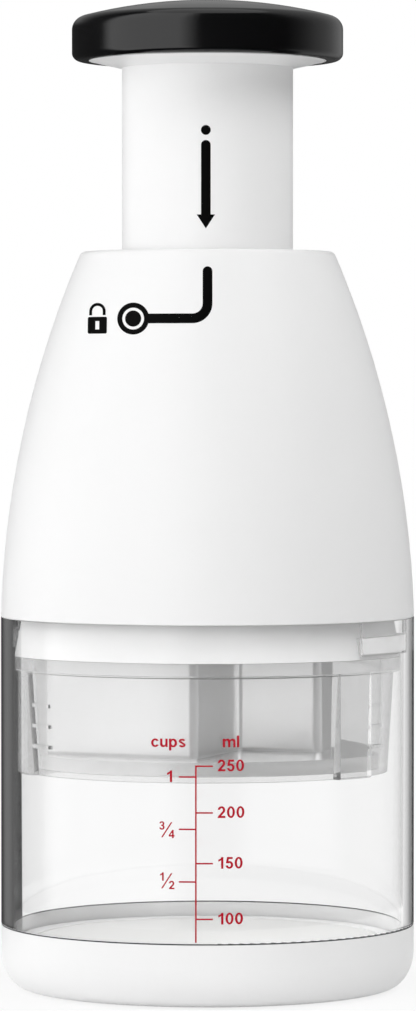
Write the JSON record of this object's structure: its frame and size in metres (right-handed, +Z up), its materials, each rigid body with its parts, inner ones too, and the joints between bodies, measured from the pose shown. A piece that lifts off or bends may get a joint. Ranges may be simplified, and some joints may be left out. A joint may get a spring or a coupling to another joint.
{
  "type": "vegetable chopper",
  "caption": "Palm-press vegetable chopper: domed cap on a sprung plunger, bell housing, zigzag blades in a clear guard, clear measuring cup and rounded base.",
  "frame": {"origin": "centre of the base's footprint, on the surface that it stands on", "axes": "+Z up along the plunger's axis, -Y towards the printed front, +X to the viewer's right"},
  "size_m": [0.09, 0.09, 0.2147],
  "materials": {
    "cap_black": "polished black moulding",
    "shell_white": "satin white moulding",
    "base_white": "satin white moulding",
    "board_white": "fine matt moulding",
    "rubber_grey": "matt soft rubber",
    "cup_clear": "polished clear moulding",
    "guard_clear": "clear moulding, slightly grey",
    "blade_steel": "ground strip",
    "hardware_steel": "bright plated",
    "inner_white": "plain moulding",
    "inner_grey": "plain low-friction moulding"
  },
  "bodies": {
    "base": {"base_cap": "base_white", "cutting_board": "board_white", "base_seal": "rubber_grey", "foot_ring": "rubber_grey"},
    "cup": {"measuring_cup": "cup_clear"},
    "top": {"bell_housing": "shell_white", "collar_ring": "shell_white", "bridge_plate": "inner_white", "bridge_screws": "hardware_steel", "helix_nut": "inner_grey", "return_spring": "hardware_steel"},
    "guard": {"blade_guard": "guard_clear"},
    "wiper": {"wiper_disc": "guard_clear"},
    "press": {"thrust_bush": "inner_grey"},
    "plunger": {"plunger_tube": "shell_white", "palm_cap": "cap_black"},
    "blades": {"helix_spindle": "inner_grey", "spindle_screw": "hardware_steel", "spindle_washer": "hardware_steel", "blade_carrier": "inner_white", "ratchet_ring": "inner_grey", "carrier_screw": "hardware_steel", "blade_front": "blade_steel", "blade_back": "blade_steel"}
  },
  "joints": [
    {"name": "cup_lift", "type": "slide", "parent": "base", "child": "cup", "axis": [0, 0, 1], "range_m": [0, 0.03]},
    {"name": "top_lift", "type": "slide", "parent": "cup", "child": "top", "axis": [0, 0, 1], "range_m": [0, 0.045]},
    {"name": "guard_pull", "type": "slide", "parent": "top", "child": "guard", "axis": [0, 0, -1], "range_m": [0, 0.03]},
    {"name": "wiper_turn", "type": "hinge", "parent": "guard", "child": "wiper", "pos_m": [0, 0, 0.05], "axis": [0, 0, 1], "range_deg": [0, 46]},
    {"name": "plunger_press", "type": "slide", "parent": "top", "child": "press", "axis": [0, 0, -1], "range_m": [0, 0.0395], "stiffness_N_per_m": 350, "springref_m": -0.02, "deforming": ["return_spring"]},
    {"name": "lock_turn", "type": "hinge", "parent": "press", "child": "plunger", "pos_m": [0, 0, 0.19], "axis": [0, 0, 1], "range_deg": [-30, 0]},
    {"name": "blade_turn", "type": "hinge", "parent": "press", "child": "blades", "pos_m": [0, 0, 0.19], "axis": [0, 0, 1], "range_deg": [0, 46]}
  ],
  "couplings": [
    {"joint": "blade_turn", "follows": "plunger_press", "rad_per_m": 19.883},
    {"joint": "wiper_turn", "follows": "plunger_press", "rad_per_m": 19.883}
  ]
}
